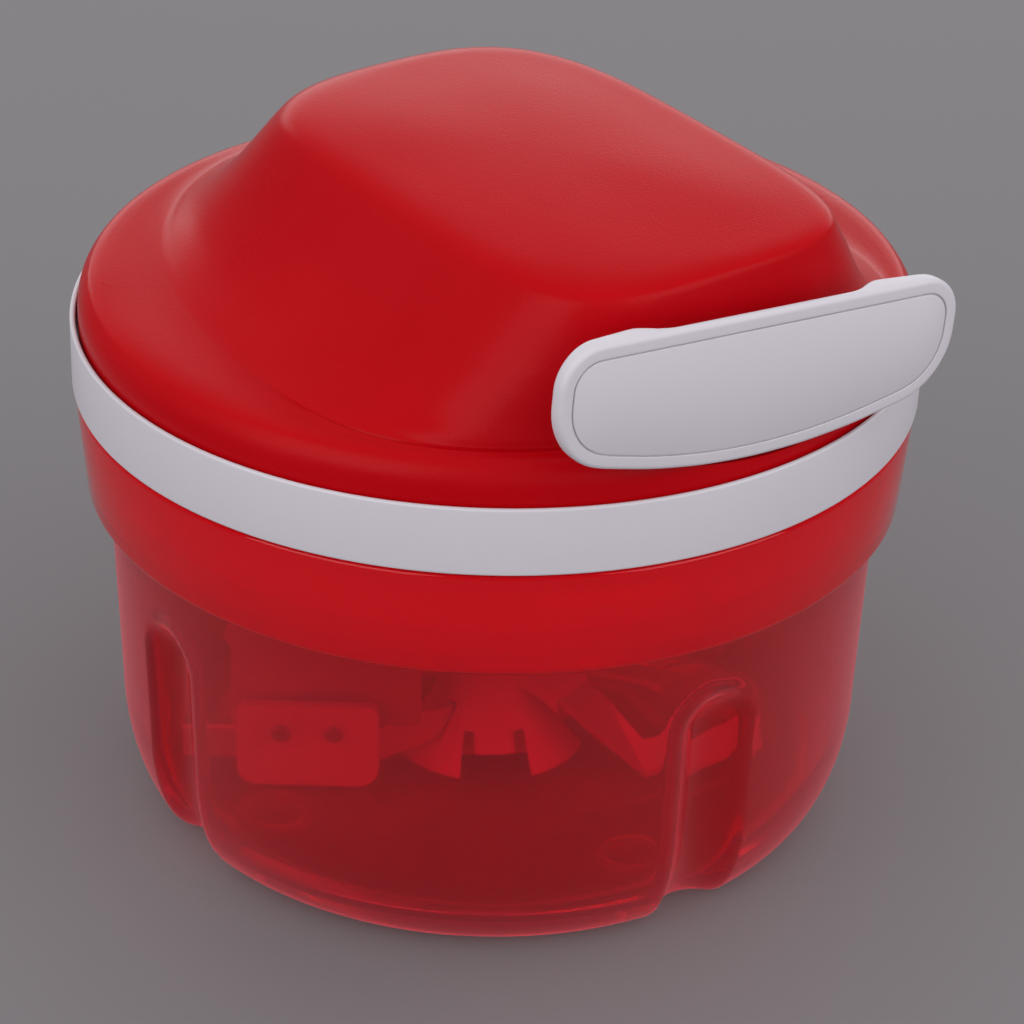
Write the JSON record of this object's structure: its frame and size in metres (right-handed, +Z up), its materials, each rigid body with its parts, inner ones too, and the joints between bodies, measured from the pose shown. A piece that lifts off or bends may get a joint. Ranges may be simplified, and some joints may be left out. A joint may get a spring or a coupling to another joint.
{
  "type": "pull cord food chopper",
  "caption": "Hand-pulled food chopper: clear bowl with a turning blade and paddle insert, and a bayonet cover holding a spring-return cord reel with a docked pull handle.",
  "frame": {"origin": "middle of the bowl's foot, on the table's surface", "axes": "+Z up along the bowl's and insert's axis; -Y is the way the pull handle comes out; +X to the right seen from the handle's side with the handle towards the viewer"},
  "size_m": [0.12, 0.12, 0.1026],
  "materials": {
    "clear_red": "clear red plastic, polished",
    "red_cover": "satin with a fine grain",
    "white": "satin moulded",
    "grey_moulding": "matt moulded",
    "seal": "soft silicone",
    "steel": "brushed",
    "cord": "braided"
  },
  "bodies": {
    "bowl": {"bowl": "clear_red", "pivot_pin": "steel"},
    "seal": {"seal_ring": "seal"},
    "cover": {"cover_base": "white", "top_housing": "red_cover", "cover_screw_1": "steel", "cover_screw_2": "steel", "cover_screw_3": "steel", "cover_screw_4": "steel", "cord_eyelet": "steel", "reel_axle": "steel", "axle_clip": "steel", "spring_arbor": "grey_moulding"},
    "handle": {"handle_shell": "white", "handle_face": "white", "cord_knot": "steel", "cord_lead": "cord"},
    "reel": {"reel": "grey_moulding", "spring_cover": "grey_moulding", "power_spring": "steel", "cord_winding": "cord"},
    "pawl_right": {"pawl_right": "white"},
    "pawl_left": {"pawl_left": "white"},
    "drive": {"drive_socket": "white", "ratchet_wheel": "white"},
    "insert": {"insert_column": "white", "paddle_arm": "steel", "paddle_plate": "white", "paddle_sheet": "steel", "paddle_rivet_1": "steel", "paddle_rivet_2": "steel", "bent_blade": "steel", "rear_blade": "steel"}
  },
  "joints": [
    {"name": "cover_lift", "type": "slide", "parent": "bowl", "child": "seal", "axis": [0, 0, 1], "range_m": [0, 0.08]},
    {"name": "cover_turn", "type": "hinge", "parent": "seal", "child": "cover", "pos_m": [0, 0, 0.062], "axis": [0, 0, 1], "range_deg": [-20, 0]},
    {"name": "reel_spin", "type": "hinge", "parent": "cover", "child": "reel", "pos_m": [0, 0, 0.0864], "axis": [0, 0, 1], "range_deg": [0, 878], "stiffness_Nm_per_rad": 0.0106, "springref_deg": -171.89, "deforming": ["power_spring", "cord_winding"]},
    {"name": "handle_pull", "type": "slide", "parent": "cover", "child": "handle", "axis": [0, -1, 0], "range_m": [0, 0.2484], "deforming": ["cord_lead"]},
    {"name": "drive_spin", "type": "hinge", "parent": "cover", "child": "drive", "pos_m": [0, 0, 0.065], "axis": [0, 0, 1], "range_deg": [0, 878]},
    {"name": "insert_spin", "type": "hinge", "parent": "bowl", "child": "insert", "pos_m": [0, 0, 0.0064], "axis": [0, 0, 1], "range_deg": [0, 878]},
    {"name": "pawl_right_swing", "type": "hinge", "parent": "reel", "child": "pawl_right", "pos_m": [0.0145, 0, 0.0782], "axis": [0, 0, 1], "range_deg": [-12, 0], "stiffness_Nm_per_rad": 0.002, "springref_deg": 2.86},
    {"name": "pawl_left_swing", "type": "hinge", "parent": "reel", "child": "pawl_left", "pos_m": [-0.0145, 0, 0.0782], "axis": [0, 0, 1], "range_deg": [-12, 0], "stiffness_Nm_per_rad": 0.002, "springref_deg": 2.86}
  ],
  "couplings": [
    {"joint": "handle_pull", "follows": "reel_spin", "m_per_rad": 0.0162},
    {"joint": "drive_spin", "follows": "reel_spin", "ratio": 1},
    {"joint": "insert_spin", "follows": "reel_spin", "ratio": 1}
  ]
}
